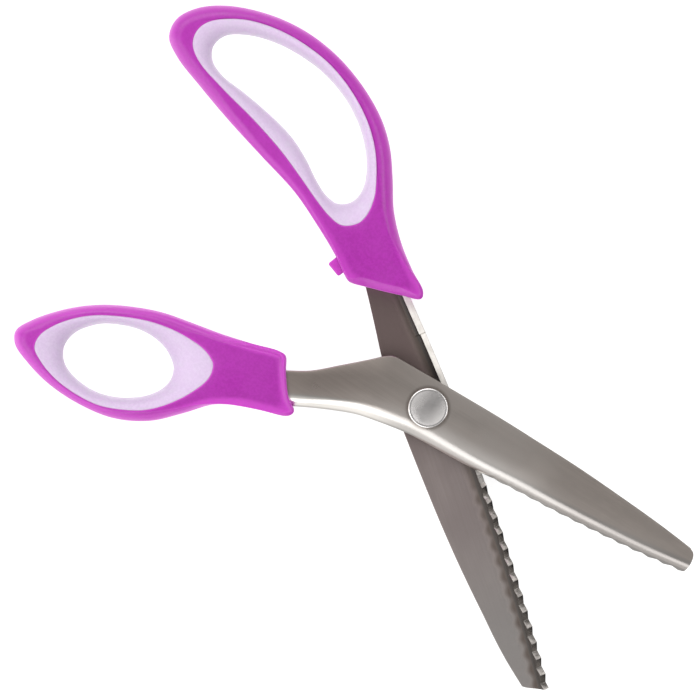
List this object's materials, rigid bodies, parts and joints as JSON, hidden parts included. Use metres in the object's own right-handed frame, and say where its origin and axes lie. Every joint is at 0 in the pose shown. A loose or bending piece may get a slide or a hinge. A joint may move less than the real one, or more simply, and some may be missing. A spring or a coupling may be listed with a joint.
{
  "type": "pinking shears",
  "caption": "Pinking shears with meshing zigzag steel blades, an adjustable screw pivot and moulded offset grips lined with soft rubber, lying open.",
  "frame": {"origin": "on the pivot axis, at the end face of the pivot screw, level with the surface that the shears lie on", "axes": "+X runs along the object from the pivot, midway between the two open blades, towards their tips; +Z is the pivot axis, up through the domed head of the screw"},
  "size_m": [0.2339, 0.1349, 0.0134],
  "materials": {
    "blade_steel": "satin, ground and brushed, with a polished band along the rounded cutting side",
    "purple_plastic": "satin moulded plastic, faintly mottled",
    "purple_rubber": "satin",
    "lilac_rubber": "matt, soft",
    "pivot_steel": "turned, satin",
    "bronze": "machined",
    "nylon": "natural"
  },
  "bodies": {
    "finger_half": {"back_blade": "blade_steel", "finger_grip": "purple_plastic", "finger_liner": "lilac_rubber", "closing_stop": "purple_rubber", "pivot_screw": "pivot_steel", "pivot_bush": "bronze", "blade_spacer": "pivot_steel", "back_thrust_washer": "nylon", "wave_spring_washer": "pivot_steel", "pivot_nut": "pivot_steel"},
    "thumb_half": {"front_blade": "blade_steel", "thumb_grip": "purple_plastic", "thumb_liner": "lilac_rubber", "head_washer": "nylon", "front_thrust_washer": "nylon"}
  },
  "joints": [
    {"name": "blade_pivot", "type": "hinge", "parent": "finger_half", "child": "thumb_half", "pos_m": [0, 0, 0.0066], "axis": [0, 0, 1], "range_deg": [-34.5, 50]}
  ]
}
